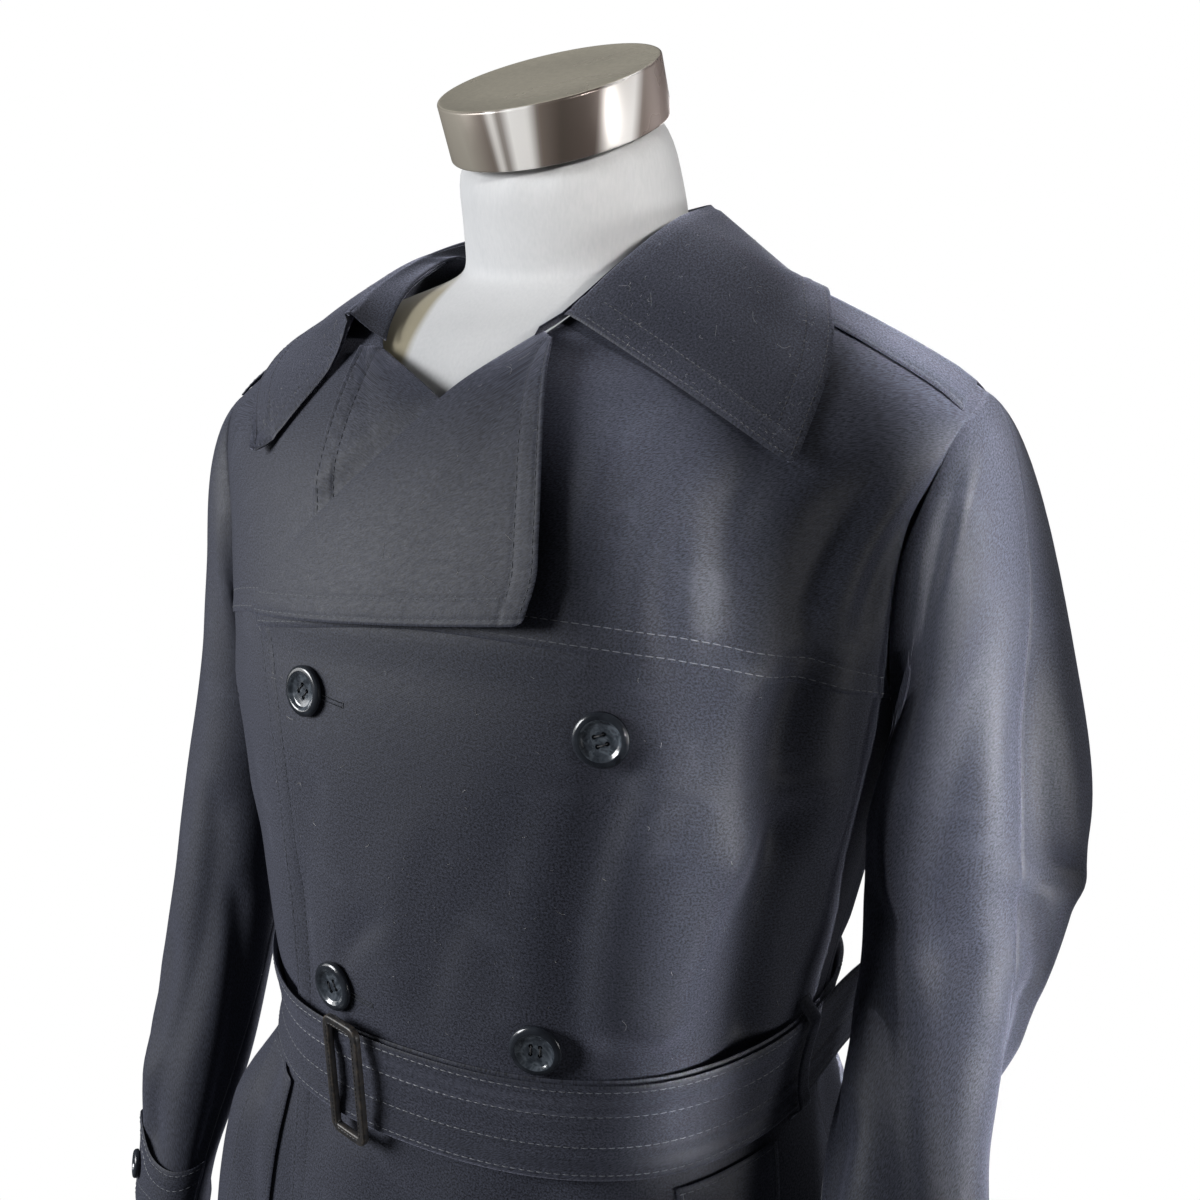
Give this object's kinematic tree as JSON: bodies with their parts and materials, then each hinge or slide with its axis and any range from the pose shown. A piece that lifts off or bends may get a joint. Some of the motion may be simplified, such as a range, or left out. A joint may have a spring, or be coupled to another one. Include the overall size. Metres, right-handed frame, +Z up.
{
  "type": "trench coat on a dress form",
  "caption": "Belted double-breasted trench coat with open collar, shoulder straps and button cuffs, worn by a limbless dress form with a neck cap on a round base.",
  "frame": {"origin": "centre of the base's underside, on the floor", "axes": "+Z up, -Y the way the coat's front faces, +X towards the wearer's left"},
  "size_m": [0.6203, 0.3873, 1.6314],
  "materials": {
    "coat_cloth": "dense twill weave, faint sheen",
    "button": "polished, marbled grey",
    "buckle_leather": "smooth grain, worn edges",
    "form_jersey": "fine pale jersey, stretched smooth",
    "form_steel": "satin brushed"
  },
  "bodies": {
    "root": {"front_left": "coat_cloth", "front_right": "coat_cloth", "yoke_left": "coat_cloth", "yoke_right": "coat_cloth", "back_left": "coat_cloth", "back_right": "coat_cloth", "lapel_left": "coat_cloth", "lapel_right": "coat_cloth", "collar_stand": "coat_cloth", "collar_fall": "coat_cloth", "epaulette_left": "coat_cloth", "epaulette_right": "coat_cloth", "sleeve_left_front": "coat_cloth", "sleeve_left_back": "coat_cloth", "sleeve_right_front": "coat_cloth", "sleeve_right_back": "coat_cloth", "cuff_strap_left": "coat_cloth", "cuff_button_left": "button", "cuff_strap_right": "coat_cloth", "cuff_button_right": "button", "belt": "coat_cloth", "belt_loop_left": "coat_cloth", "belt_loop_right": "coat_cloth", "buckle": "buckle_leather", "pocket_welt_left": "coat_cloth", "pocket_welt_right": "coat_cloth", "button_top_left": "button", "button_top_right": "button", "button_waist_left": "button", "button_waist_right": "button", "button_low_left": "button", "button_low_right": "button", "form_torso": "form_jersey", "form_cap": "form_steel", "form_base": "form_steel", "form_pole": "form_steel"}
  },
  "joints": []
}
